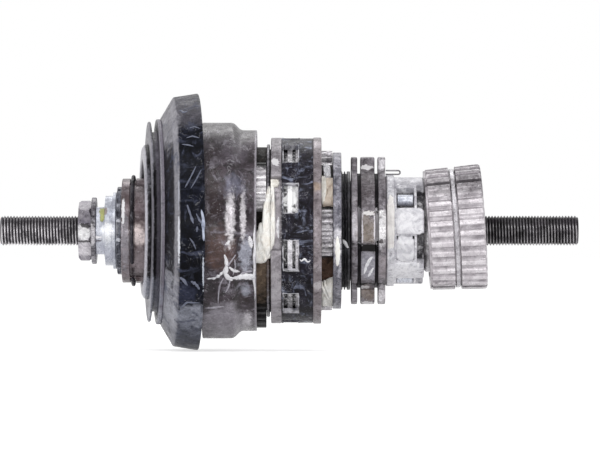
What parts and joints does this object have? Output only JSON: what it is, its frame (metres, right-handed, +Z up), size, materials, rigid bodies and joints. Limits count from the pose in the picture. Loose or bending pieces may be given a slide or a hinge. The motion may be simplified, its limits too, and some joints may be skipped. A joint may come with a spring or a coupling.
{
  "type": "internal gear hub",
  "caption": "Internal gear hub out of its shell: threaded axle, loose ball cup, two planetary sets, clutch drum, lugged drive rings, roller coaster brake and brake shoes.",
  "frame": {"origin": "on the axle's centre line at the outer face of the drive side locknut, where a dropout bears", "axes": "+X along the axle from the drive side to the brake side, +Z up, the picture is taken along +Y"},
  "size_m": [0.184, 0.0817, 0.082],
  "materials": {
    "axle_steel": "turned thread, oiled",
    "nut_steel": "plated",
    "black_steel": "black oxide",
    "cone_steel": "ground and plated",
    "driver_steel": "bronze-brown heat treated steel",
    "ball_steel": "polished",
    "gear_steel": "cut teeth, greased",
    "bush_bronze": "oil bronze",
    "cup_steel": "dark, greased",
    "seal_dark": "moulded, greasy",
    "housing_steel": "brown-grey heat treated steel, greased",
    "carrier_steel": "sintered steel, brown",
    "drum_steel": "ground",
    "cage_black": "moulded, greased",
    "lug_steel": "sintered steel",
    "brake_cage_pale": "coated in white grease",
    "shoe_steel": "satin",
    "spring_steel": "drawn wire"
  },
  "bodies": {
    "root": {"axle": "axle_steel", "drive_locknut": "nut_steel", "lock_washer": "black_steel", "drive_cone": "cone_steel", "driver_bush": "bush_bronze", "carrier_bushes": "bush_bronze", "low_sun_gear": "gear_steel", "high_sun_gear": "gear_steel", "brake_cone": "gear_steel", "shoe_spring_ring": "spring_steel"},
    "driver": {"cone_dust_cap": "seal_dark", "drive_balls": "ball_steel", "drive_ball_retainer": "black_steel", "driver": "driver_steel", "driver_pawls": "gear_steel", "sprocket_snap_ring": "black_steel", "cup_balls": "ball_steel", "cup_ball_retainer": "black_steel"},
    "cup": {"cup_dust_cap": "driver_steel", "cup_seal": "seal_dark", "ball_cup": "cup_steel"},
    "low_ring": {"ring_gear_housing": "housing_steel"},
    "carrier": {"carrier_front_plate": "carrier_steel", "carrier_front_body": "carrier_steel", "carrier_middle_plate": "carrier_steel", "carrier_hub_disc": "carrier_steel", "carrier_rear_body": "carrier_steel", "carrier_end_flange": "drum_steel", "low_planet_pins": "gear_steel", "high_planet_pins": "gear_steel"},
    "drum": {"clutch_ring_gear": "drum_steel", "drum_front_ring": "drum_steel", "clutch_cage": "cage_black", "drum_end_ring": "drum_steel"},
    "shell_drive": {"lug_plate_front": "lug_steel", "lug_cam_ring": "lug_steel", "lug_plate_rear": "lug_steel", "lug_spacers": "black_steel"},
    "low_planet_1": {"low_planet_1": "gear_steel"},
    "low_planet_2": {"low_planet_2": "gear_steel"},
    "low_planet_3": {"low_planet_3": "gear_steel"},
    "high_planet_1": {"high_planet_1": "gear_steel"},
    "high_planet_2": {"high_planet_2": "gear_steel"},
    "high_planet_3": {"high_planet_3": "gear_steel"},
    "high_planet_4": {"high_planet_4": "gear_steel"},
    "brake_cam": {"brake_roller_cage": "brake_cage_pale", "brake_rollers": "ball_steel", "friction_spring": "spring_steel"},
    "brake_shoe_1": {"brake_shoe_1": "shoe_steel"},
    "brake_shoe_2": {"brake_shoe_2": "shoe_steel"},
    "brake_shoe_3": {"brake_shoe_3": "shoe_steel"}
  },
  "joints": [
    {"name": "driver_spin", "type": "hinge", "parent": "root", "child": "driver", "pos_m": [0, 0, 0], "axis": [1, 0, 0], "continuous": true},
    {"name": "cup_spin", "type": "hinge", "parent": "root", "child": "cup", "pos_m": [0.029, 0, 0.0028], "axis": [0.9969, 0.0785, 0], "continuous": true},
    {"name": "low_ring_spin", "type": "hinge", "parent": "root", "child": "low_ring", "pos_m": [0, 0, 0], "axis": [1, 0, 0], "continuous": true},
    {"name": "carrier_spin", "type": "hinge", "parent": "root", "child": "carrier", "pos_m": [0, 0, 0], "axis": [1, 0, 0], "continuous": true},
    {"name": "drum_spin", "type": "hinge", "parent": "root", "child": "drum", "pos_m": [0, 0, 0], "axis": [1, 0, 0], "continuous": true},
    {"name": "shell_drive_spin", "type": "hinge", "parent": "root", "child": "shell_drive", "pos_m": [0, 0, 0], "axis": [1, 0, 0], "continuous": true},
    {"name": "low_planet_1_spin", "type": "hinge", "parent": "carrier", "child": "low_planet_1", "pos_m": [0.052, -0.01772, 0.01195], "axis": [1, 0, 0], "continuous": true},
    {"name": "low_planet_2_spin", "type": "hinge", "parent": "carrier", "child": "low_planet_2", "pos_m": [0.052, 0.01921, 0.00937], "axis": [1, 0, 0], "continuous": true},
    {"name": "low_planet_3_spin", "type": "hinge", "parent": "carrier", "child": "low_planet_3", "pos_m": [0.052, -0.00149, -0.02132], "axis": [1, 0, 0], "continuous": true},
    {"name": "high_planet_1_spin", "type": "hinge", "parent": "carrier", "child": "high_planet_1", "pos_m": [0.075, -0.01759, -0.00046], "axis": [1, 0, 0], "continuous": true},
    {"name": "high_planet_2_spin", "type": "hinge", "parent": "carrier", "child": "high_planet_2", "pos_m": [0.075, -0.00046, 0.01759], "axis": [1, 0, 0], "continuous": true},
    {"name": "high_planet_3_spin", "type": "hinge", "parent": "carrier", "child": "high_planet_3", "pos_m": [0.075, 0.01759, 0.00046], "axis": [1, 0, 0], "continuous": true},
    {"name": "high_planet_4_spin", "type": "hinge", "parent": "carrier", "child": "high_planet_4", "pos_m": [0.075, 0.00046, -0.01759], "axis": [1, 0, 0], "continuous": true},
    {"name": "brake_cam_turn", "type": "hinge", "parent": "root", "child": "brake_cam", "pos_m": [0.104, 0, 0], "axis": [1, 0, 0], "range_deg": [0, 12]},
    {"name": "brake_shoe_1_slide", "type": "slide", "parent": "root", "child": "brake_shoe_1", "axis": [0.0134, -0.9781, -0.2075], "range_m": [0, 0.00026]},
    {"name": "brake_shoe_2_slide", "type": "slide", "parent": "root", "child": "brake_shoe_2", "axis": [-0.0614, 0.309, 0.9491], "range_m": [0, 0.00026]},
    {"name": "brake_shoe_3_slide", "type": "slide", "parent": "root", "child": "brake_shoe_3", "axis": [0.048, 0.6691, -0.7416], "range_m": [0, 0.00026]}
  ],
  "couplings": [
    {"joint": "low_ring_spin", "follows": "driver_spin", "ratio": 1},
    {"joint": "carrier_spin", "follows": "driver_spin", "ratio": 0.52355},
    {"joint": "drum_spin", "follows": "driver_spin", "ratio": 0.7431},
    {"joint": "low_planet_1_spin", "follows": "driver_spin", "ratio": 1.608},
    {"joint": "low_planet_2_spin", "follows": "driver_spin", "ratio": 1.608},
    {"joint": "low_planet_3_spin", "follows": "driver_spin", "ratio": 1.608},
    {"joint": "high_planet_1_spin", "follows": "driver_spin", "ratio": 0.75623},
    {"joint": "high_planet_2_spin", "follows": "driver_spin", "ratio": 0.75623},
    {"joint": "high_planet_3_spin", "follows": "driver_spin", "ratio": 0.75623},
    {"joint": "high_planet_4_spin", "follows": "driver_spin", "ratio": 0.75623},
    {"joint": "brake_shoe_1_slide", "follows": "brake_cam_turn", "m_per_rad": 0.0011937},
    {"joint": "brake_shoe_2_slide", "follows": "brake_cam_turn", "m_per_rad": 0.0011937},
    {"joint": "brake_shoe_3_slide", "follows": "brake_cam_turn", "m_per_rad": 0.0011937}
  ]
}
